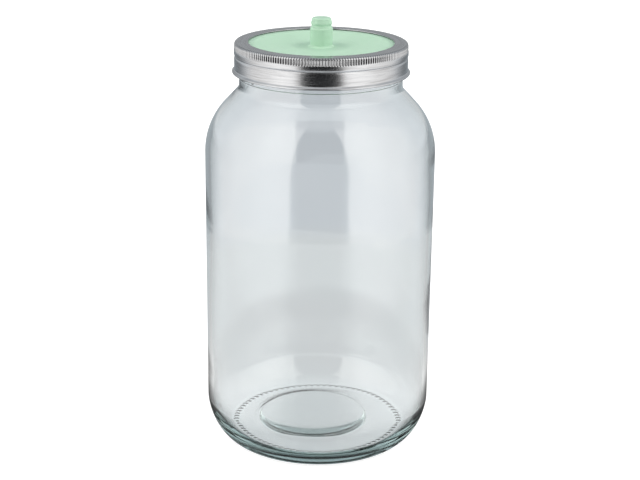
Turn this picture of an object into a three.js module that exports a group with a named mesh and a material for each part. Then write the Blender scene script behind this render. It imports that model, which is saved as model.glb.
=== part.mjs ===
// Fermentation jar: a one-gallon wide-mouth glass jar, the steel screw band on its neck
// and the silicone valve lid that the band holds down on the rim.
// Millimetres, +Z up, origin at the centre of the base on the plane that it stands on.
// The three pieces are round about Z, so each one is a closed profile turned about that axis.
import * as THREE from 'three';

// ---- driving dimensions -------------------------------------------------------------
const SIDES = 48;              // flats round the axis

const BODY_R = 76;             // outside of the straight body
const WALL = 3.4;              // body and shoulder wall
const HEEL_FOOT_R = 60.3;      // where the heel curve meets the standing plane
const HEEL_H = 27.0;           // height of the heel curve
const HEEL_POWER = 1.219;      // 1 is an ellipse; a little more is tighter low down
const SHOULDER_R = 47.1;       // radius of the round shoulder
const SHOULDER_Z = 199.7;      // where the shoulder starts
const SHOULDER_CONE = 42.96;   // degrees from upright where the shoulder runs straight
const NECK_R = 53.4;           // outside of the neck
const NECK_FILLET = 5.7;       // hollow curve between shoulder and neck
const NECK_WALL = 3.4;
const NECK_RING_R = 54.1;      // low ring round the neck, just under the band
const NECK_RING_Z = 249.5;
const RIM_Z = 268.0;           // top of the glass
const RIM_ROUND = 1.7;         // rounding of the rim

const RING_IN_R = 54.3;        // inner edge of the flat ring that the jar stands on
const UNDERSIDE_Z = 0.85;      // underside between that ring and the middle circle
const CIRCLE_R = 36.5;         // the circle in the middle of the base
const CIRCLE_RUN = 5.0;        // run of its sloping side
const CIRCLE_Z = 3.0;          // underside inside the circle
const FLOOR_Z = 7.6;           // level of the inside floor out at its edge
const FLOOR_EDGE_R = 60.6;     // where the inside floor turns up
const FLOOR_CURVE_H = 19.2;    // height of the inside curve from floor to wall
const FLOOR_POWER = 1.24;
const FLOOR_HUMP = 0.8;        // the floor swells a little round the middle circle
const DOME_Z = 9.3;            // edge of the low dome on that circle
const DOME_H = 4.0;            // height of the dome

const BAND_R = 56.4;           // outside of the band's wall
const BAND_TOP_Z = 272.4;      // flat top of the band
const BAND_SHEET = 0.6;
const BAND_HOLE_R = 47.4;      // the opening that shows the lid
const BAND_TOP_EDGE_R = 54.8;  // where the flat top rounds over
const KNURL_LOW_Z = 268.1;     // lower edge of the ribbed strip
const GROOVE_Z = 263.4;        // rolled groove between the two bulges
const GROOVE_DEPTH = 0.3;
const BULGE = 0.28;            // how far the wall swells above the groove
const BEAD_R = 58.0;           // turned-out lower edge
const BEAD_Z = 253.4;
const BAND_LOW_Z = 252.6;

const LID_R = 53.0;            // silicone disc under the band
const LID_SEAT_Z = 268.3;      // underside that lies on the rim
const LID_TOP_Z = 271.4;
const LID_PLUG_R = 49.2;       // the part of it that reaches into the mouth
const LID_PLUG_Z = 266.6;
const DISH_R = 44.0;           // the top is dished inside this radius
const DISH_Z = 269.3;          // lowest level of the dish, round the nozzle
const NOZZLE_R = 7.35;
const NOZZLE_FOOT = 1.0;       // fillet at the nozzle's foot
const NOZZLE_LEDGE_Z = 281.6;  // rounded ledge at the top of the nozzle's stem
const HEAD_NECK_R = 6.35;      // groove under the head
const HEAD_LOW_Z = 283.9;
const HEAD_R = 6.55;
const HEAD_TOP_R = 5.9;
const HEAD_TOP_Z = 288.0;

// ---- profile helpers ----------------------------------------------------------------
const rad = (deg) => (deg * Math.PI) / 180;

// quarter of a superellipse, from its foot (r0, z0), where it is level, to (r1, z1), where it is upright
function heelCurve(r0, z0, r1, z1, power, steps) {
  const out = [];
  for (let i = 0; i <= steps; i++) {
    const t = (Math.PI / 2) * (i / steps);
    out.push([r0 + (r1 - r0) * Math.sin(t) ** power, z0 + (z1 - z0) * (1 - Math.cos(t) ** power)]);
  }
  return out;
}

// circular arc about (cr, cz), angles in degrees from the outward direction
function arc(cr, cz, radius, from, to, steps) {
  const out = [];
  for (let i = 0; i <= steps; i++) {
    const a = rad(from + ((to - from) * i) / steps);
    out.push([cr + radius * Math.cos(a), cz + radius * Math.sin(a)]);
  }
  return out;
}

// body, shoulder arc, straight cone, neck fillet: the same curve for outside and inside
function shoulder(bodyR, neckR, arcR, filletR, arcSteps, filletSteps) {
  const up = arc(bodyR - arcR, SHOULDER_Z, arcR, 0, SHOULDER_CONE, arcSteps);
  const [re, ze] = up[up.length - 1];
  const c = rad(SHOULDER_CONE);
  const rt = neckR + filletR * (1 - Math.cos(c));
  const zt = ze + (re - rt) / Math.tan(c);
  const turn = arc(neckR + filletR, zt + filletR * Math.sin(c), filletR, 180 + SHOULDER_CONE, 180, filletSteps);
  return up.concat(turn);
}

// turns a profile of [r, z] pairs about +Z. The profile starts and ends on the axis, or returns to its start.
function turned(profile) {
  const geometry = new THREE.LatheGeometry(profile.map(([r, z]) => new THREE.Vector2(r, z)), SIDES);
  geometry.rotateX(Math.PI / 2);
  const p = geometry.attributes.position;
  const index = geometry.index.array;
  const [a, b, c] = [new THREE.Vector3(), new THREE.Vector3(), new THREE.Vector3()];
  let volume = 0;
  for (let i = 0; i < index.length; i += 3) {
    a.fromBufferAttribute(p, index[i]);
    b.fromBufferAttribute(p, index[i + 1]);
    c.fromBufferAttribute(p, index[i + 2]);
    volume += a.dot(b.clone().cross(c)) / 6;
  }
  if (volume < 0) for (let i = 0; i < index.length; i += 3) [index[i], index[i + 1]] = [index[i + 1], index[i]];
  geometry.computeVertexNormals();
  return geometry;
}

// ---- the glass jar ------------------------------------------------------------------
function jarProfile() {
  const innerR = BODY_R - WALL;
  const neckIn = NECK_R - NECK_WALL;
  const under = [
    [0, CIRCLE_Z],
    [CIRCLE_R - CIRCLE_RUN, CIRCLE_Z - 0.1],
    [CIRCLE_R - CIRCLE_RUN / 2, CIRCLE_Z - 0.7],
    [CIRCLE_R + 1.5, UNDERSIDE_Z],
    [RING_IN_R - 5, UNDERSIDE_Z * 0.3],
    [RING_IN_R, 0],
  ];
  const heel = heelCurve(HEEL_FOOT_R, 0, BODY_R, HEEL_H, HEEL_POWER, 8);
  const outer = shoulder(BODY_R, NECK_R, SHOULDER_R, NECK_FILLET, 7, 3);
  const ring = [
    [NECK_R, NECK_RING_Z - 0.3],
    [NECK_RING_R, NECK_RING_Z + 0.6],
    [NECK_RING_R, NECK_RING_Z + 2.8],
    [NECK_R, NECK_RING_Z + 3.7],
  ];
  const rim = arc(NECK_R - RIM_ROUND, RIM_Z - RIM_ROUND, RIM_ROUND, 0, 90, 2)
    .concat(arc(neckIn + RIM_ROUND, RIM_Z - RIM_ROUND, RIM_ROUND, 90, 180, 2).slice(1));
  const inner = shoulder(innerR, neckIn, SHOULDER_R - WALL, NECK_FILLET + NECK_WALL, 6, 3).reverse();
  const floor = heelCurve(FLOOR_EDGE_R, FLOOR_Z, innerR, FLOOR_Z + FLOOR_CURVE_H, FLOOR_POWER, 6).reverse();
  const dome = [0, 14, 32, 56].map((a) => [CIRCLE_R * Math.cos(rad(a)), DOME_Z + DOME_H * Math.sin(rad(a))]);
  return [...under, ...heel, ...outer, ...ring, ...rim, ...inner, ...floor,
    [CIRCLE_R + 8, FLOOR_Z + FLOOR_HUMP], [CIRCLE_R + 3.5, FLOOR_Z + FLOOR_HUMP * 0.8],
    ...dome, [0, DOME_Z + DOME_H]];
}

// ---- the screw band -----------------------------------------------------------------
function bandProfile() {
  const inR = BAND_R - BAND_SHEET;
  const corner = BAND_R - BAND_TOP_EDGE_R;
  const outside = [
    [BAND_HOLE_R, BAND_TOP_Z - 0.15],
    [BAND_HOLE_R + 0.15, BAND_TOP_Z],
    ...arc(BAND_TOP_EDGE_R, BAND_TOP_Z - corner, corner, 90, 0, 3),
    [BAND_R, KNURL_LOW_Z],
    [BAND_R + BULGE, KNURL_LOW_Z - 1.6],
    [BAND_R, GROOVE_Z + 1.0],
    [BAND_R - GROOVE_DEPTH, GROOVE_Z],
    [BAND_R, GROOVE_Z - 1.2],
    [BAND_R + 0.12, GROOVE_Z - 4.4],
    [BAND_R + 0.06, BEAD_Z + 1.9],
    [BAND_R + 0.95, BEAD_Z + 0.7],
    [BEAD_R, BEAD_Z],
    [BEAD_R - 0.4, BAND_LOW_Z],
  ];
  const inside = [
    [inR + 0.3, BAND_LOW_Z + 1.1],
    [inR - 0.2, BAND_LOW_Z + 2.2],
    [inR - 0.2, BAND_TOP_Z - BAND_SHEET - 1.0],
    [inR - 1.2, BAND_TOP_Z - BAND_SHEET],
    [BAND_HOLE_R, BAND_TOP_Z - BAND_SHEET],
  ];
  const loop = [...outside, ...inside];
  return [...loop, loop[0]];
}

// ---- the silicone valve lid -----------------------------------------------------------
function lidProfile() {
  const dish = [];
  const steps = 3;
  for (let i = 0; i <= steps; i++) {
    const t = i / steps;
    const r = DISH_R + (NOZZLE_R + NOZZLE_FOOT - DISH_R) * t;
    dish.push([r, LID_TOP_Z + (DISH_Z - LID_TOP_Z) * Math.sin((t * Math.PI) / 2)]);
  }
  return [
    [0, LID_PLUG_Z],
    [LID_PLUG_R - 0.4, LID_PLUG_Z],
    [LID_PLUG_R, LID_PLUG_Z + 0.4],
    [LID_PLUG_R, LID_SEAT_Z],
    [LID_R, LID_SEAT_Z],
    [LID_R, LID_TOP_Z - 0.4],
    [LID_R - 0.4, LID_TOP_Z],
    ...dish,
    [NOZZLE_R, DISH_Z + NOZZLE_FOOT],
    [NOZZLE_R, NOZZLE_LEDGE_Z - 0.8],
    [NOZZLE_R - 0.6, NOZZLE_LEDGE_Z],
    [HEAD_NECK_R, HEAD_LOW_Z - 1.2],
    [HEAD_NECK_R, HEAD_LOW_Z],
    [HEAD_R, HEAD_LOW_Z + 0.5],
    [HEAD_R, HEAD_LOW_Z + 1.6],
    [HEAD_TOP_R, HEAD_TOP_Z - 0.9],
    [HEAD_TOP_R - 0.8, HEAD_TOP_Z],
    [0, HEAD_TOP_Z],
  ];
}

// ---- pieces ---------------------------------------------------------------------------
const jar = new THREE.Mesh(
  turned(jarProfile()),
  new THREE.MeshStandardMaterial({ color: 0xd3dbdd, roughness: 0.05, metalness: 0.0 }),
);
jar.name = 'glass_jar';

const band = new THREE.Mesh(
  turned(bandProfile()),
  new THREE.MeshStandardMaterial({ color: 0xb9babd, roughness: 0.28, metalness: 1.0 }),
);
band.name = 'screw_band';

const lid = new THREE.Mesh(
  turned(lidProfile()),
  new THREE.MeshStandardMaterial({ color: 0xb1d3ba, roughness: 0.55, metalness: 0.0 }),
);
lid.name = 'valve_lid';

const part = new THREE.Group();
part.name = 'fermentation_jar';
part.add(jar, band, lid);
export default part;
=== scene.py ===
import math

import bpy
import numpy as np
from mathutils import Matrix, Vector


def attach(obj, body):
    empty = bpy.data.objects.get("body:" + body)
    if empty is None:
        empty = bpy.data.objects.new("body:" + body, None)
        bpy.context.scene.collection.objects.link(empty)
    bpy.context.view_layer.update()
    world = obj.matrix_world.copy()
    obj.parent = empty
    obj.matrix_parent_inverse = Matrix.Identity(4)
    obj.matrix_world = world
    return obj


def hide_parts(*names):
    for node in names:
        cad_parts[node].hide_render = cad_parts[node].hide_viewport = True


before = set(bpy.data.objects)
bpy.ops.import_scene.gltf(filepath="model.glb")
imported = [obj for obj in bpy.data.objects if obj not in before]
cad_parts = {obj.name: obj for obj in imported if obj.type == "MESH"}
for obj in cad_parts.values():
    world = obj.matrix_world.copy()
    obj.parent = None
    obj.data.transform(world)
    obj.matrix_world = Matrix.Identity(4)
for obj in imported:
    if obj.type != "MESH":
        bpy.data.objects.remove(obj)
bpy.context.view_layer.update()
MM = 0.001

# ---------------------------------------------------------------------------------------
# Sizes in millimetres. The fermentation jar is round about Z and stands at z = 0.
# ---------------------------------------------------------------------------------------
BODY_R, WALL = 76.0, 3.4
HEEL_FOOT_R, HEEL_H, HEEL_POWER = 60.3, 27.0, 1.219
SHOULDER_R, SHOULDER_Z, SHOULDER_CONE = 47.1, 199.7, 42.96
NECK_R, NECK_FILLET, NECK_WALL = 53.4, 5.7, 3.4
RIM_Z, RIM_ROUND = 268.0, 1.6
NECK_RING_R, NECK_RING_Z = 54.1, 249.5       # low ring round the neck, just under the band
RING_IN_R = 52.8
UNDERSIDE_Z, CIRCLE_R, CIRCLE_Z = 0.85, 36.5, 2.2
CIRCLE_OFF = (-3.1, 0.3)       # the middle circle of a blown base sits a little off the axis
FLOOR_Z, FLOOR_EDGE_R, FLOOR_CURVE_H, FLOOR_POWER, FLOOR_HUMP = 7.6, 60.6, 19.2, 1.24, 0.8
DOME_H, DOME_Z = 5.0, 9.0      # low dome of the middle circle: its height, and where its edge is
TICKS, TICK_R = 80, (55.3, 58.9)  # fine radial ticks on the ring that the jar stands on

BAND_R, BAND_TOP_Z, BAND_SHEET = 56.4, 272.4, 0.6
BAND_HOLE_R, BAND_TOP_EDGE_R = 47.4, 54.8
KNURL_LOW_Z, KNURL_TOP_Z, KNURL_DEPTH, KNURLS = 267.7, 271.2, 0.55, 200
GROOVE_Z, BULGE = 263.4, 0.28
BEAD_R, BEAD_Z, BAND_LOW_Z = 58.0, 253.4, 252.6

LID_R, LID_SEAT_Z, LID_TOP_Z = 53.0, 268.3, 271.4
LID_PLUG_R, LID_PLUG_Z = 49.2, 266.6
DISH_R, DISH_Z = 44.0, 269.3
NOZZLE_R, NOZZLE_FOOT, NOZZLE_LEDGE_Z = 7.35, 1.5, 281.6
HEAD_NECK_R, HEAD_LOW_Z, HEAD_R, HEAD_TOP_R, HEAD_TOP_Z = 6.5, 283.7, 6.8, 6.15, 288.0


# ---------------------------------------------------------------------------------------
# Profiles: lists of (r, z)
# ---------------------------------------------------------------------------------------
def arc(cr, cz, radius, start, end, steps):
    return [
        (
            cr + radius * math.cos(math.radians(start + (end - start) * i / steps)),
            cz + radius * math.sin(math.radians(start + (end - start) * i / steps)),
        )
        for i in range(steps + 1)
    ]


def heel(r0, z0, r1, z1, power, steps):
    out = []
    for i in range(steps + 1):
        t = math.pi / 2 * i / steps
        out.append((r0 + (r1 - r0) * max(0.0, math.sin(t)) ** power, z0 + (z1 - z0) * (1 - max(0.0, math.cos(t)) ** power)))
    return out


def shoulder(body_r, neck_r, arc_r, fillet_r, arc_steps, fillet_steps):
    up = arc(body_r - arc_r, SHOULDER_Z, arc_r, 0, SHOULDER_CONE, arc_steps)
    re, ze = up[-1]
    c = math.radians(SHOULDER_CONE)
    rt = neck_r + fillet_r * (1 - math.cos(c))
    zt = ze + (re - rt) / math.tan(c)
    turn = arc(neck_r + fillet_r, zt + fillet_r * math.sin(c), fillet_r, 180 + SHOULDER_CONE, 180, fillet_steps)
    return up + turn


def smooth_line(points, step):
    """A Catmull-Rom curve through points, resampled about every step."""
    p = [np.array(q, float) for q in points]
    p = [2 * p[0] - p[1]] + p + [2 * p[-1] - p[-2]]
    out = []
    for a, b, c, d in zip(p, p[1:], p[2:], p[3:]):
        n = max(1, int(round(np.linalg.norm(c - b) / step)))
        for i in range(n):
            t = i / n
            out.append(tuple(0.5 * (2 * b + (c - a) * t + (2 * a - 5 * b + 4 * c - d) * t * t + (3 * b - a - 3 * c + d) * t ** 3)))
    out.append(tuple(p[-2]))
    return out


def straight(a, b, step):
    n = max(1, int(round(math.hypot(b[0] - a[0], b[1] - a[1]) / step)))
    return [(a[0] + (b[0] - a[0]) * i / n, a[1] + (b[1] - a[1]) * i / n) for i in range(n + 1)]


def joined(*runs):
    out = []
    for run in runs:
        for q in run:
            if not out or math.hypot(q[0] - out[-1][0], q[1] - out[-1][1]) > 1e-4:
                out.append(q)
    return out


def turned(name, profile, segments, shape=None, closed=False, sharp=35.0, finer=None, shift=None):
    """Turns profile about Z. shape(r, z, angle) returns moved r and z as arrays. A profile that isn't closed starts and ends
    on the axis. Where finer(r, z) is true, the ring has twice the segments. shift(r, z) moves a ring's middle sideways."""
    verts, start, count = [], [], []
    for r, z in profile:
        start.append(len(verts))
        dx, dy = shift(r, z) if shift is not None else (0.0, 0.0)
        if r < 1e-6:
            verts.append((dx * MM, dy * MM, z * MM))
            count.append(1)
            continue
        n = segments * (2 if finer is not None and finer(r, z) else 1)
        angle = np.arange(n) / n * 2 * math.pi
        rr, zz = np.full(n, float(r)), np.full(n, float(z))
        if shape is not None:
            rr, zz = shape(rr, zz, angle)
        verts.extend(zip((rr * np.cos(angle) + dx) * MM, (rr * np.sin(angle) + dy) * MM, zz * MM))
        count.append(n)
    faces = []
    pairs = list(zip(range(len(start) - 1), range(1, len(start))))
    if closed:
        pairs.append((len(start) - 1, 0))
    for i, j in pairs:
        a, b, m, n = start[i], start[j], count[i], count[j]
        if m == 1 and n == 1:
            continue
        if m == 1:
            faces.extend((a, b + (k + 1) % n, b + k) for k in range(n))
        elif n == 1:
            faces.extend((a + k, a + (k + 1) % m, b) for k in range(m))
        elif m == n:
            faces.extend((a + k, a + (k + 1) % m, b + (k + 1) % n, b + k) for k in range(m))
        elif n == 2 * m:
            for k in range(m):
                faces.append((a + k, a + (k + 1) % m, b + (2 * k + 2) % n, b + 2 * k + 1))
                faces.append((a + k, b + 2 * k + 1, b + 2 * k))
        else:
            for k in range(n):
                faces.append((a + 2 * k + 1, a + (2 * k + 2) % m, b + (k + 1) % n, b + k))
                faces.append((a + 2 * k, a + 2 * k + 1, b + k))
    mesh = bpy.data.meshes.new(name)
    mesh.from_pydata([tuple(float(c) for c in v) for v in verts], [], faces)
    mesh.validate()
    volume = 0.0
    co = np.array([v.co for v in mesh.vertices])
    mesh.calc_loop_triangles()
    tri = np.array([t.vertices for t in mesh.loop_triangles])
    volume = np.einsum("ij,ij->i", co[tri[:, 0]], np.cross(co[tri[:, 1]], co[tri[:, 2]])).sum()
    if volume < 0:
        mesh.flip_normals()
    mesh.polygons.foreach_set("use_smooth", [True] * len(mesh.polygons))
    mesh.set_sharp_from_angle(angle=math.radians(sharp))
    ob = bpy.data.objects.new(name, mesh)
    bpy.context.scene.collection.objects.link(ob)
    return ob


# ---------------------------------------------------------------------------------------
# Node helpers
# ---------------------------------------------------------------------------------------
class Nodes:
    def __init__(self, name):
        self.mat = bpy.data.materials.new(name)
        self.mat.use_nodes = True
        self.t = self.mat.node_tree
        self.t.nodes.clear()
        self.out = self.t.nodes.new("ShaderNodeOutputMaterial")
        self.bsdf = self.t.nodes.new("ShaderNodeBsdfPrincipled")
        self.link(self.bsdf.outputs[0], self.out.inputs["Surface"])
        self.where = self.t.nodes.new("ShaderNodeTexCoord").outputs["Object"]

    def link(self, a, b):
        self.t.links.new(a, b)

    def put(self, socket, value):
        if isinstance(value, bpy.types.NodeSocket):
            self.link(value, socket)
        else:
            socket.default_value = value

    def math(self, op, a, b=None, c=None, clamp=False):
        n = self.t.nodes.new("ShaderNodeMath")
        n.operation = op
        n.use_clamp = clamp
        for i, v in enumerate((a, b, c)):
            if v is not None:
                self.put(n.inputs[i], v)
        return n.outputs[0]

    def parts(self, vector):
        n = self.t.nodes.new("ShaderNodeSeparateXYZ")
        self.link(vector, n.inputs[0])
        return n.outputs

    def join(self, x, y, z):
        n = self.t.nodes.new("ShaderNodeCombineXYZ")
        for s, v in zip(n.inputs, (x, y, z)):
            self.put(s, v)
        return n.outputs[0]

    def noise(self, vector, scale, detail=2.0, rough=0.5, kind="3D"):
        n = self.t.nodes.new("ShaderNodeTexNoise")
        n.noise_dimensions = kind
        self.link(vector, n.inputs["Vector"])
        n.inputs["Scale"].default_value = scale
        n.inputs["Detail"].default_value = detail
        n.inputs["Roughness"].default_value = rough
        return n.outputs[0]

    def ramp(self, value, stops):
        n = self.t.nodes.new("ShaderNodeValToRGB")
        self.put(n.inputs[0], value)
        els = n.color_ramp.elements
        while len(els) < len(stops):
            els.new(0.5)
        for e, (p, c) in zip(els, stops):
            e.position = p
            e.color = (*c, 1.0) if len(c) == 3 else c
        return n.outputs[0]

    def span(self, value, a, b, c, d):
        n = self.t.nodes.new("ShaderNodeMapRange")
        self.put(n.inputs[0], value)
        for i, v in zip((1, 2, 3, 4), (a, b, c, d)):
            n.inputs[i].default_value = v
        return n.outputs[0]

    def mix(self, factor, a, b, blend="MIX"):
        n = self.t.nodes.new("ShaderNodeMix")
        n.data_type = "RGBA"
        n.blend_type = blend
        self.put(n.inputs[0], factor)
        self.put(n.inputs[6], a)
        self.put(n.inputs[7], b)
        return n.outputs[2]

    def bump(self, height, distance, strength=1.0, under=None):
        n = self.t.nodes.new("ShaderNodeBump")
        self.put(n.inputs["Height"], height)
        n.inputs["Distance"].default_value = distance
        n.inputs["Strength"].default_value = strength
        if under is not None:
            self.link(under, n.inputs["Normal"])
        return n.outputs[0]


def rgb(r, g, b):
    """sRGB 0 to 255 to linear."""
    return tuple((c / 255 / 12.92 if c <= 10 else ((c / 255 + 0.055) / 1.055) ** 2.4) for c in (r, g, b))


# ---------------------------------------------------------------------------------------
# Glass
# ---------------------------------------------------------------------------------------
GLASS_DENSITY = 13.0           # per metre
GLASS_TINT = (0.60, 0.735, 0.725)


def glass_material():
    m = Nodes("clear_glass")
    b = m.bsdf
    b.inputs["Transmission Weight"].default_value = 1.0
    b.inputs["IOR"].default_value = 1.5
    b.inputs["Metallic"].default_value = 0.0
    x, y, z = m.parts(m.where)
    # drawn-out waves of blown glass: slow along the height, slower round the body
    waves = m.noise(m.join(x, y, m.math("MULTIPLY", z, 2.2)), 11.0, 1.0)
    ripple = m.noise(m.join(m.math("MULTIPLY", x, 0.35), m.math("MULTIPLY", y, 0.35), z), 60.0, 1.0)
    height = m.math("ADD", m.math("MULTIPLY", waves, 1.0), m.math("MULTIPLY", ripple, 0.10))
    m.put(b.inputs["Normal"], m.bump(height, 0.0012, 0.35))
    specks = m.noise(m.where, 420.0, 3.0)
    m.put(b.inputs["Roughness"], m.span(specks, 0.3, 0.75, 0.0, 0.02))
    tint = m.ramp(m.noise(m.where, 18.0, 1.0), [(0.3, (0.965, 0.985, 0.985)), (0.7, (0.985, 0.995, 0.995))])
    m.put(b.inputs["Base Color"], tint)
    volume = m.t.nodes.new("ShaderNodeVolumeAbsorption")
    volume.inputs["Color"].default_value = (*GLASS_TINT, 1.0)
    volume.inputs["Density"].default_value = GLASS_DENSITY
    m.link(volume.outputs[0], m.out.inputs["Volume"])
    return m.mat


def glass_profile():
    inner_r, neck_in = BODY_R - WALL, NECK_R - NECK_WALL
    under = joined(
        [((CIRCLE_R + 3) * i / 24, CIRCLE_Z + (UNDERSIDE_Z - CIRCLE_Z) * (i / 24) ** 2) for i in range(25)],
        smooth_line([(CIRCLE_R + 3, UNDERSIDE_Z), (RING_IN_R - 9, UNDERSIDE_Z * 0.62), (RING_IN_R - 4, UNDERSIDE_Z * 0.3),
                     (RING_IN_R - 1.5, 0.1), (RING_IN_R, 0.03), (RING_IN_R + 1.5, 0)], 0.7),
        straight((RING_IN_R + 1.5, 0.0), (HEEL_FOOT_R, 0.0), 0.35),
    )
    outer = joined(
        heel(HEEL_FOOT_R, 0, BODY_R, HEEL_H, HEEL_POWER, 30),
        straight((BODY_R, HEEL_H), (BODY_R, SHOULDER_Z), 6.0),
        shoulder(BODY_R, NECK_R, SHOULDER_R, NECK_FILLET, 24, 10),
        straight((NECK_R, 246.0), (NECK_R, NECK_RING_Z - 0.35), 1.2),
        smooth_line([(NECK_R, NECK_RING_Z - 0.35), (NECK_R + 0.2, NECK_RING_Z - 0.05), (NECK_RING_R - 0.12, NECK_RING_Z + 0.3),
                     (NECK_RING_R, NECK_RING_Z + 0.75), (NECK_RING_R, NECK_RING_Z + 2.6), (NECK_RING_R - 0.2, NECK_RING_Z + 3.1), (NECK_R, NECK_RING_Z + 3.7)], 0.25),
        straight((NECK_R, NECK_RING_Z + 3.7), (NECK_R, RIM_Z - RIM_ROUND), 2.5),
    )
    rim = joined(
        arc(NECK_R - RIM_ROUND, RIM_Z - RIM_ROUND, RIM_ROUND, 0, 90, 6),
        arc(neck_in + RIM_ROUND, RIM_Z - RIM_ROUND, RIM_ROUND, 90, 180, 6),
    )
    inner = joined(
        straight((neck_in, RIM_Z - RIM_ROUND), (neck_in, 249.5), 2.5),
        shoulder(inner_r, neck_in, SHOULDER_R - WALL, NECK_FILLET + NECK_WALL, 22, 10)[::-1],
        straight((inner_r, SHOULDER_Z), (inner_r, FLOOR_Z + FLOOR_CURVE_H), 6.0),
        heel(FLOOR_EDGE_R, FLOOR_Z, inner_r, FLOOR_Z + FLOOR_CURVE_H, FLOOR_POWER, 26)[::-1],
        smooth_line([(FLOOR_EDGE_R, FLOOR_Z), (FLOOR_EDGE_R - 8, FLOOR_Z + 0.05), (CIRCLE_R + 8, FLOOR_Z + FLOOR_HUMP),
                     (CIRCLE_R + 3, FLOOR_Z + FLOOR_HUMP * 0.97), (CIRCLE_R + 1.1, FLOOR_Z + FLOOR_HUMP * 0.92), (CIRCLE_R, DOME_Z)], 0.5),
        [(CIRCLE_R * math.cos(math.pi / 48 * i), DOME_Z + DOME_H * math.sin(math.pi / 48 * i)) for i in range(24)],
        [(0, DOME_Z + DOME_H)],
    )
    return joined(under, outer, rim, inner)


def glass_shape(r, z, a):
    """Ticks on the standing ring, and the slight unevenness of a blown inside wall."""
    zz, rr = z.copy(), r.copy()
    r0, z0 = float(r[0]), float(z[0])
    if z0 < 0.1 and TICK_R[0] < r0 < TICK_R[1]:
        along = min(1.0, (r0 - TICK_R[0]) / 0.6, (TICK_R[1] - r0) / 0.6)
        lift = 0.4 * max(0.0, along)
        wave = np.clip(np.cos(a * TICKS) * 1.6 + 0.1, 0, 1)
        zz = z + lift * (1 - wave)
    inside = (0 < z0 < RIM_Z) and r0 < (BODY_R - WALL + 0.01) and z0 > FLOOR_Z - 0.5 and not_outer(r0, z0)
    if inside:
        s = 0.12 * np.sin(2 * a + z0 * 0.021 + 0.6) + 0.07 * np.sin(3 * a - z0 * 0.043 + 2.1) + 0.05 * np.sin(5 * a + z0 * 0.067 + 4.0)
        s = s + 0.05 * math.sin(z0 * 0.115 + 1.0) + 0.02 * math.sin(z0 * 0.23 + 0.4)
        fade = min(1.0, max(0.0, (z0 - 14) / 25)) * min(1.0, max(0.0, (262 - z0) / 12))
        rr = r + s * fade
    return rr, zz


def not_outer(r0, z0):
    """True for a point of the inside wall."""
    if z0 < 30:
        t = min(1.0, max(0.0, (z0 - FLOOR_Z) / FLOOR_CURVE_H))
        inner = FLOOR_EDGE_R + (BODY_R - WALL - FLOOR_EDGE_R) * math.sqrt(max(0.0, 1 - (1 - t) ** 2))
        return r0 <= inner + 1.0
    return True if r0 <= NECK_R - 1.7 else r0 <= _wall_mid(z0)


def _wall_mid(z0):
    outer = shoulder(BODY_R, NECK_R, SHOULDER_R, NECK_FILLET, 24, 10)
    rs, zs = [BODY_R] + [q[0] for q in outer] + [NECK_R], [0] + [q[1] for q in outer] + [300]
    return float(np.interp(z0, zs, rs)) - 1.2


def near_ticks(r, z):
    return z < 0.3 and TICK_R[0] - 1.2 < r < TICK_R[1] + 1.0


def off_axis(r, z):
    if z > FLOOR_Z + 8:
        return 0.0, 0.0
    share = min(1.0, max(0.0, (RING_IN_R - 3 - r) / (RING_IN_R - 3 - CIRCLE_R - 1.5)))
    share = share * share * (3 - 2 * share)
    return CIRCLE_OFF[0] * share, CIRCLE_OFF[1] * share


glass = turned("jar_glass_fine", glass_profile(), TICKS * 3, glass_shape, sharp=70, finer=near_ticks, shift=off_axis)
glass.data.materials.append(glass_material())
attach(glass, "root")
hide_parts("glass_jar")


# ---------------------------------------------------------------------------------------
# Steel band
# ---------------------------------------------------------------------------------------
def steel_material():
    m = Nodes("rolled_steel")
    b = m.bsdf
    b.inputs["Metallic"].default_value = 1.0
    x, y, z = m.parts(m.where)
    radius = m.math("SQRT", m.math("ADD", m.math("MULTIPLY", x, x), m.math("MULTIPLY", y, y)))
    # rolling marks run round the wall and round the flat top
    lines = m.noise(m.join(m.math("MULTIPLY", x, 0.02), m.math("MULTIPLY", y, 0.02), m.math("ADD", z, radius)), 2600.0, 3.0, 0.6)
    grain = m.noise(m.where, 900.0, 2.0)
    cloud = m.noise(m.where, 35.0, 2.0)
    colour = m.mix(cloud, (*rgb(162, 165, 168), 1), (*rgb(170, 173, 176), 1))
    streaks = m.noise(m.join(m.math("MULTIPLY", x, 0.06), m.math("MULTIPLY", y, 0.06), m.math("ADD", z, m.math("MULTIPLY", radius, 0.6))), 760.0, 2.0, 0.6)
    colour = m.mix(m.span(lines, 0.35, 0.7, 0.0, 0.4), colour, (*rgb(136, 137, 140), 1))
    colour = m.mix(m.span(streaks, 0.45, 0.75, 0.0, 0.6), colour, (*rgb(128, 129, 131), 1))
    # painted shade: the base colour is darkened in the valleys between the ribs, where shade falls, so the rib tops
    # read lighter
    rib = m.math("ABSOLUTE", m.math("COSINE", m.math("MULTIPLY", m.math("ARCTAN2", y, x), KNURLS / 2)))
    rib_valley_shade_zone = m.math("MULTIPLY", m.span(z, (KNURL_LOW_Z - 0.3) * MM, (KNURL_LOW_Z + 0.3) * MM, 0.0, 1.0), m.span(radius, (BAND_TOP_EDGE_R + 0.1) * MM, (BAND_TOP_EDGE_R + 0.5) * MM, 0.0, 1.0))
    colour = m.mix(m.math("MULTIPLY", rib_valley_shade_zone, m.span(rib, 0.25, 0.75, 0.85, 0.0)), colour, (*rgb(70, 71, 73), 1))
    m.put(b.inputs["Base Color"], colour)
    rough = m.math("ADD", m.span(lines, 0.3, 0.7, 0.16, 0.25), m.math("MULTIPLY", grain, 0.06))
    m.put(b.inputs["Roughness"], rough)
    m.put(b.inputs["Normal"], m.bump(m.math("ADD", lines, m.math("MULTIPLY", grain, 0.5)), 0.00004, 0.5))
    return m.mat


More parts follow.
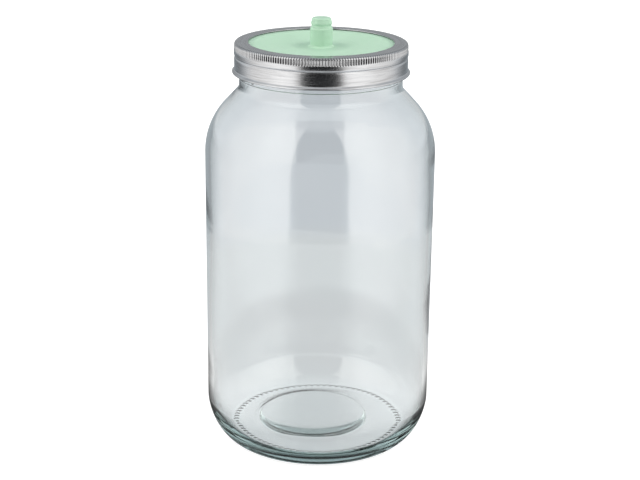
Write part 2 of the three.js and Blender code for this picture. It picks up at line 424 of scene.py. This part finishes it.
def band_profile():
    in_r = BAND_R - BAND_SHEET
    corner = BAND_R - BAND_TOP_EDGE_R
    outside = joined(
        [(BAND_HOLE_R, BAND_TOP_Z - 0.25), (BAND_HOLE_R + 0.04, BAND_TOP_Z - 0.08), (BAND_HOLE_R + 0.12, BAND_TOP_Z)],
        straight((BAND_HOLE_R + 0.12, BAND_TOP_Z), (BAND_TOP_EDGE_R, BAND_TOP_Z), 1.2),
        arc(BAND_TOP_EDGE_R, BAND_TOP_Z - corner, corner, 90, 0, 10),
        straight((BAND_R, BAND_TOP_Z - corner), (BAND_R, KNURL_LOW_Z), 0.33),
        smooth_line([
            (BAND_R, KNURL_LOW_Z), (BAND_R + BULGE * 0.9, KNURL_LOW_Z - 0.9), (BAND_R + BULGE, GROOVE_Z + 2.4), (BAND_R + BULGE * 0.8, GROOVE_Z + 1.5),
            (BAND_R + 0.05, GROOVE_Z + 0.75), (BAND_R - 0.35, GROOVE_Z + 0.32), (BAND_R - 0.45, GROOVE_Z), (BAND_R - 0.35, GROOVE_Z - 0.3),
            (BAND_R - 0.05, GROOVE_Z - 0.9), (BAND_R + 0.1, GROOVE_Z - 2.1), (BAND_R + 0.12, GROOVE_Z - 4.4), (BAND_R + 0.08, BEAD_Z + 3.6),
            (BAND_R + 0.06, BEAD_Z + 1.9), (BAND_R + 0.3, BEAD_Z + 1.3), (BAND_R + 0.95, BEAD_Z + 0.7), (BEAD_R - 0.12, BEAD_Z + 0.22),
            (BEAD_R, BEAD_Z), (BEAD_R - 0.08, BEAD_Z - 0.4), (BEAD_R - 0.4, BAND_LOW_Z),
        ], 0.3),
    )
    inside = joined(
        smooth_line([(BEAD_R - 0.4, BAND_LOW_Z), (BEAD_R - 1.1, BAND_LOW_Z + 0.35), (in_r + 0.1, BAND_LOW_Z + 1.2), (in_r - 0.2, BAND_LOW_Z + 2.2)], 0.35),
        straight((in_r - 0.2, BAND_LOW_Z + 2.2), (in_r - 0.2, BAND_TOP_Z - BAND_SHEET - 1.0), 2.4),
        arc(in_r - 1.2, BAND_TOP_Z - BAND_SHEET - 1.0, 1.0, 0, 90, 4),
        straight((in_r - 1.2, BAND_TOP_Z - BAND_SHEET), (BAND_HOLE_R, BAND_TOP_Z - BAND_SHEET), 2.5),
    )
    return joined(outside, inside)


def band_shape(r, z, a):
    """Upright ribs, with sharp valleys between them, under the upper corner."""
    r0, z0 = float(r[0]), float(z[0])
    if r0 < BAND_R - 0.4 or not (KNURL_LOW_Z - 0.3 < z0 < KNURL_TOP_Z + 0.3):
        return r, z
    fade = min(1.0, (z0 - KNURL_LOW_Z + 0.3) / 0.5, (KNURL_TOP_Z + 0.3 - z0) / 0.5)
    return r - KNURL_DEPTH * max(0.0, fade) * (1 - np.abs(np.cos(a * KNURLS / 2))), z


def near_ribs(r, z):
    return r > BAND_R - 0.45 and KNURL_LOW_Z - 0.5 < z < KNURL_TOP_Z + 0.5


band = turned("screw_band_fine", band_profile(), KNURLS * 3, band_shape, closed=True, sharp=50, finer=near_ribs)
band.data.materials.append(steel_material())
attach(band, "root")
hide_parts("screw_band")


# ---------------------------------------------------------------------------------------
# Silicone lid
# ---------------------------------------------------------------------------------------
def silicone_material():
    m = Nodes("mint_silicone")
    b = m.bsdf
    x, y, z = m.parts(m.where)
    cloud = m.noise(m.where, 45.0, 3.0)
    fine = m.noise(m.where, 1400.0, 2.0)
    colour = m.mix(cloud, (*rgb(172, 208, 184), 1), (*rgb(178, 213, 189), 1))
    m.put(b.inputs["Base Color"], colour)
    m.put(b.inputs["Roughness"], m.span(fine, 0.3, 0.7, 0.42, 0.56))
    b.inputs["Subsurface Weight"].default_value = 0.12
    b.inputs["Subsurface Radius"].default_value = (0.8, 1.0, 0.8)
    b.inputs["Subsurface Scale"].default_value = 0.0015
    b.inputs["Specular IOR Level"].default_value = 0.4
    m.put(b.inputs["Normal"], m.bump(m.math("ADD", fine, m.math("MULTIPLY", cloud, 0.6)), 0.00006, 0.5))
    return m.mat


def lid_profile():
    dish = []
    steps = 30
    for i in range(steps + 1):
        t = i / steps
        dish.append((DISH_R + (NOZZLE_R + NOZZLE_FOOT - DISH_R) * t, LID_TOP_Z + (DISH_Z - LID_TOP_Z) * math.sin(t * math.pi / 2)))
    return joined(
        straight((0, LID_PLUG_Z), (LID_PLUG_R - 0.4, LID_PLUG_Z), 4.0),
        arc(LID_PLUG_R - 0.4, LID_PLUG_Z + 0.4, 0.4, -90, 0, 4),
        straight((LID_PLUG_R, LID_PLUG_Z + 0.4), (LID_PLUG_R, LID_SEAT_Z), 0.8),
        straight((LID_PLUG_R, LID_SEAT_Z), (LID_R, LID_SEAT_Z), 1.2),
        straight((LID_R, LID_SEAT_Z), (LID_R, LID_TOP_Z - 0.4), 1.2),
        arc(LID_R - 0.4, LID_TOP_Z - 0.4, 0.4, 0, 90, 4),
        straight((LID_R - 0.4, LID_TOP_Z), (DISH_R, LID_TOP_Z), 1.5),
        dish,
        arc(NOZZLE_R + NOZZLE_FOOT, DISH_Z + NOZZLE_FOOT, NOZZLE_FOOT, 270, 180, 6),
        straight((NOZZLE_R, DISH_Z + NOZZLE_FOOT), (NOZZLE_R, NOZZLE_LEDGE_Z - 0.9), 1.0),
        arc(NOZZLE_R - 0.8, NOZZLE_LEDGE_Z - 0.8, 0.8, 0, 70, 6),
        smooth_line([(NOZZLE_R - 0.55, NOZZLE_LEDGE_Z - 0.03), (HEAD_NECK_R + 0.15, NOZZLE_LEDGE_Z + 0.55), (HEAD_NECK_R, HEAD_LOW_Z - 0.9),
                     (HEAD_NECK_R, HEAD_LOW_Z - 0.1), (HEAD_R - 0.05, HEAD_LOW_Z + 0.25), (HEAD_R, HEAD_LOW_Z + 0.7),
                     (HEAD_R - 0.05, HEAD_LOW_Z + 1.4), (HEAD_TOP_R + 0.25, HEAD_TOP_Z - 1.7)], 0.2),
        smooth_line([(HEAD_TOP_R + 0.25, HEAD_TOP_Z - 1.7), (HEAD_TOP_R + 0.1, HEAD_TOP_Z - 0.8), (HEAD_TOP_R - 0.25, HEAD_TOP_Z - 0.2), (HEAD_TOP_R - 0.9, HEAD_TOP_Z)], 0.2),
        straight((HEAD_TOP_R - 0.9, HEAD_TOP_Z), (0, HEAD_TOP_Z - 0.02), 1.0),
    )


lid = turned("valve_lid_fine", lid_profile(), 192, sharp=60)
lid.data.materials.append(silicone_material())
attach(lid, "root")
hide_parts("valve_lid")


# ---------------------------------------------------------------------------------------
# Studio: a pale floor, a soft wide light on each side with a dark gap between them, and a
# pale backdrop. What the camera sees straight on is plain white.
# ---------------------------------------------------------------------------------------
scene = bpy.context.scene

# light that comes from each side: (degrees round from -Y, strength)
ROOM = [(0, 0.02), (23.5, 0.02), (29.5, 2.1), (36, 2.3), (51, 2.4), (75, 2.0), (97, 1.7), (107, 1.45), (117, 1.0), (126, 0.62), (140, 0.37), (160, 0.43), (180, 0.54)]
# the same for light from above the table's level
ROOM_UP = [(0, 0.02), (23.5, 0.02), (29.5, 2.1), (36, 2.3), (51, 2.4), (75, 2.0), (97, 1.7), (107, 1.5), (117, 1.3), (126, 1.1), (140, 0.85), (160, 0.6), (180, 0.54)]
FRONT_TINT, REAR_TINT = (1.04, 1.0, 0.965), (0.955, 0.985, 1.01)
TABLE_REAR_TINT = (0.94, 1.0, 1.035)
# light that comes up off the round white table
TABLE = [(0, 1.06), (24.5, 1.08), (30.5, 1.45), (49, 1.85), (75, 1.65), (97, 1.4), (116, 0.95), (126, 0.7), (140, 0.58), (180, 0.6)]
TOP_LIGHT = (1.08, 1.08, 1.08)
TABLE_AT, TABLE_R = (0.0, -0.04), 0.52
# how much of that light is left on the table close round the foot of the jar: (mm from the middle, share)
CONTACT_SEEN = [(0, 1.04), (36, 1.07), (50, 1.15), (58, 1.22), (66, 1.15), (90, 1.04), (180, 1.0)]
TICK_SHADE = 0.3               # how much light is left where the ridges of the standing ring touch the table
CONTACT_BOUNCED = [(0, 0.26), (46, 0.22), (54, 0.02), (66, 0.02), (80, 0.04), (95, 0.09), (115, 0.3), (135, 0.78), (150, 0.97), (180, 1.0)]
SEEN_NEAR, SEEN_FAR = (0.635, 0.65, 0.665), (0.60, 0.622, 0.662)


class Tree:
    """Short forms for the nodes of the world and the floor."""

    def __init__(self, tree):
        self.t = tree
        tree.nodes.clear()

    def new(self, kind):
        return self.t.nodes.new(kind)

    def put(self, socket, value):
        if isinstance(value, bpy.types.NodeSocket):
            self.t.links.new(value, socket)
        else:
            socket.default_value = value

    def math(self, op, a, b=None, clamp=False):
        n = self.new("ShaderNodeMath")
        n.operation, n.use_clamp = op, clamp
        for i, v in enumerate((a, b)):
            if v is not None:
                self.put(n.inputs[i], v)
        return n.outputs[0]

    def step(self, value, lo, hi):
        """0 below lo, 1 above hi, smooth between them."""
        n = self.new("ShaderNodeMapRange")
        n.interpolation_type = "SMOOTHSTEP"
        self.put(n.inputs[0], value)
        n.inputs[1].default_value, n.inputs[2].default_value = lo, hi
        n.inputs[3].default_value, n.inputs[4].default_value = 0.0, 1.0
        return n.outputs[0]

    def mix(self, factor, a, b, blend="MIX"):
        n = self.new("ShaderNodeMix")
        n.data_type, n.blend_type, n.clamp_result = "RGBA", blend, False
        self.put(n.inputs[0], factor)
        for i, v in ((6, a), (7, b)):
            self.put(n.inputs[i], (*v, 1) if isinstance(v, tuple) and len(v) == 3 else v)
        return n.outputs[2]

    def parts(self, vector):
        n = self.new("ShaderNodeSeparateXYZ")
        self.t.links.new(vector, n.inputs[0])
        return n.outputs

    def curve(self, value, stops, top):
        """A smooth curve through (value, height) stops, heights up to top."""
        n = self.new("ShaderNodeFloatCurve")
        self.put(n.inputs["Value"], value)
        line = n.mapping.curves[0].points
        for i, (p, v) in enumerate(stops):
            point = line[i] if i < 2 else line.new(p / 180, v / top)
            point.location = (p / 180, v / top)
            point.handle_type = "AUTO_CLAMPED"
        n.mapping.update()
        return self.math("MULTIPLY", n.outputs[0], top)

    def turn(self, x, y):
        """Angle round from -Y, 0 to 1 for 0 to 180 degrees."""
        return self.math("MULTIPLY", self.math("ABSOLUTE", self.math("ARCTAN2", x, self.math("MULTIPLY", y, -1.0))), 1 / math.pi)

    def tint(self, value, colour=(1.0, 1.0, 1.0)):
        n = self.new("ShaderNodeCombineColor")
        for i in range(3):
            self.put(n.inputs[i], self.math("MULTIPLY", value, colour[i]))
        return n.outputs[0]

    def studio(self, x, y, up=None):
        """The light that comes from direction (x, y), as a colour."""
        turn = self.turn(x, y)
        light = self.mix(1.0, self.tint(self.curve(turn, ROOM if up is None else ROOM_UP, 2.5)), self.mix(self.step(turn, 95 / 180, 130 / 180), FRONT_TINT, REAR_TINT), "MULTIPLY")
        if up is not None:
            light = self.mix(self.step(up, math.sin(math.radians(58)), math.sin(math.radians(74))), light, TOP_LIGHT)
        return light


def plane(name, corners, material):
    mesh = bpy.data.meshes.new(name)
    mesh.from_pydata([Vector(c) for c in corners], [], [(0, 1, 2, 3)])
    ob = bpy.data.objects.new(name, mesh)
    scene.collection.objects.link(ob)
    ob.data.materials.append(material)
    return ob


def floor_material():
    mat = bpy.data.materials.new("pale_floor")
    mat.use_nodes = True
    n = Tree(mat.node_tree)
    path = n.new("ShaderNodeLightPath").outputs
    x, y, z = n.parts(n.new("ShaderNodeTexCoord").outputs["Object"])
    dx, dy = n.math("SUBTRACT", x, TABLE_AT[0]), n.math("SUBTRACT", y, TABLE_AT[1])
    far = n.math("SQRT", n.math("ADD", n.math("MULTIPLY", dx, dx), n.math("MULTIPLY", dy, dy)))
    straight_through = n.mix(n.step(far, 0.42, 0.52), SEEN_NEAR, SEEN_FAR)
    bounced = n.math("GREATER_THAN", path["Glossy Depth"], 0.5)
    table = n.tint(n.curve(n.turn(x, y), TABLE, 2.0))
    from_jar = n.math("SQRT", n.math("ADD", n.math("MULTIPLY", x, x), n.math("MULTIPLY", y, y)))
    near = n.math("MULTIPLY", from_jar, 1000 / 180, clamp=True)
    contact = n.mix(bounced, n.tint(n.curve(near, CONTACT_SEEN, 1.3)), n.tint(n.curve(near, CONTACT_BOUNCED, 1.0)))
    mirrored = n.mix(n.step(far, TABLE_R - 0.004, TABLE_R + 0.004), table, n.studio(x, y))
    # the ridges touch the table, each with its own thin shade
    ridge = n.math("COSINE", n.math("MULTIPLY", n.math("ARCTAN2", y, x), float(TICKS)))
    band_of = n.math("MULTIPLY", n.step(from_jar, (TICK_R[0] + 0.1) * MM, (TICK_R[0] + 0.6) * MM), n.math("SUBTRACT", 1.0, n.step(from_jar, (TICK_R[1] - 0.6) * MM, (TICK_R[1] - 0.1) * MM)))
    touch = n.math("MULTIPLY", n.step(ridge, 0.3, 0.6), band_of)
    contact = n.mix(touch, contact, n.mix(1.0, contact, (TICK_SHADE, TICK_SHADE, TICK_SHADE), "MULTIPLY"))
    behind = n.math("MULTIPLY", n.step(n.turn(x, y), 130 / 180, 150 / 180), n.step(from_jar, 0.12, 0.16))
    mirrored = n.mix(behind, mirrored, n.mix(1.0, mirrored, TABLE_REAR_TINT, "MULTIPLY"))
    glow = n.new("ShaderNodeEmission")
    n.put(glow.inputs[0], n.mix(1.0, n.mix(bounced, straight_through, mirrored), contact, "MULTIPLY"))
    seen = n.new("ShaderNodeBsdfDiffuse")
    seen.inputs[0].default_value = (0.5, 0.5, 0.5, 1)
    lift = n.new("ShaderNodeEmission")
    lift.inputs[1].default_value = 0.8
    add = n.new("ShaderNodeAddShader")
    n.put(add.inputs[0], seen.outputs[0])
    n.put(add.inputs[1], lift.outputs[0])
    pick = n.new("ShaderNodeMixShader")
    n.put(pick.inputs[0], path["Is Camera Ray"])
    n.put(pick.inputs[1], glow.outputs[0])
    n.put(pick.inputs[2], add.outputs[0])
    n.put(n.new("ShaderNodeOutputMaterial").inputs[0], pick.outputs[0])
    return mat


plane("floor", [(-6, -6, -0.0002), (6, -6, -0.0002), (6, 6, -0.0002), (-6, 6, -0.0002)], floor_material())

world = bpy.data.worlds.new("studio")
scene.world = world
world.use_nodes = True
w = Tree(world.node_tree)
path = w.new("ShaderNodeLightPath").outputs
x, y, z = w.parts(w.new("ShaderNodeTexCoord").outputs["Generated"])
lit = w.math("MAXIMUM", w.math("GREATER_THAN", path["Glossy Depth"], 0.5), path["Is Diffuse Ray"])
colour = w.mix(lit, SEEN_FAR, w.studio(x, y, z))
sky = w.new("ShaderNodeBackground")
w.put(sky.inputs[0], w.mix(path["Is Camera Ray"], colour, (1.15, 1.15, 1.15)))
w.put(w.new("ShaderNodeOutputWorld").inputs[0], sky.outputs[0])


# ---------------------------------------------------------------------------------------
# Camera: fitted to the jar's outline
# ---------------------------------------------------------------------------------------
cam_data = bpy.data.cameras.new("camera")
cam = bpy.data.objects.new("camera", cam_data)
scene.collection.objects.link(cam)
cam_data.sensor_fit = "HORIZONTAL"
cam_data.sensor_width = 36.0
cam_data.lens = 1487.3 / 640 * 36.0
cam_data.clip_start, cam_data.clip_end = 0.01, 60
cam.matrix_world = (
    Matrix.Translation((0.00058, -0.9533, 0.4542))
    @ Matrix.Rotation(math.radians(90 - 18.403), 4, "X")
    @ Matrix.Rotation(math.radians(0.65), 4, "Z")
)
scene.camera = cam

scene.view_settings.view_transform = "Standard"
scene.view_settings.look = "None"
scene.cycles.max_bounces = 24
scene.cycles.transmission_bounces = 24
scene.cycles.glossy_bounces = 10
scene.cycles.transparent_max_bounces = 16
scene.cycles.caustics_refractive = True
scene.cycles.caustics_reflective = False
scene.cycles.blur_glossy = 0.5
scene.cycles.sample_clamp_indirect = 6.0
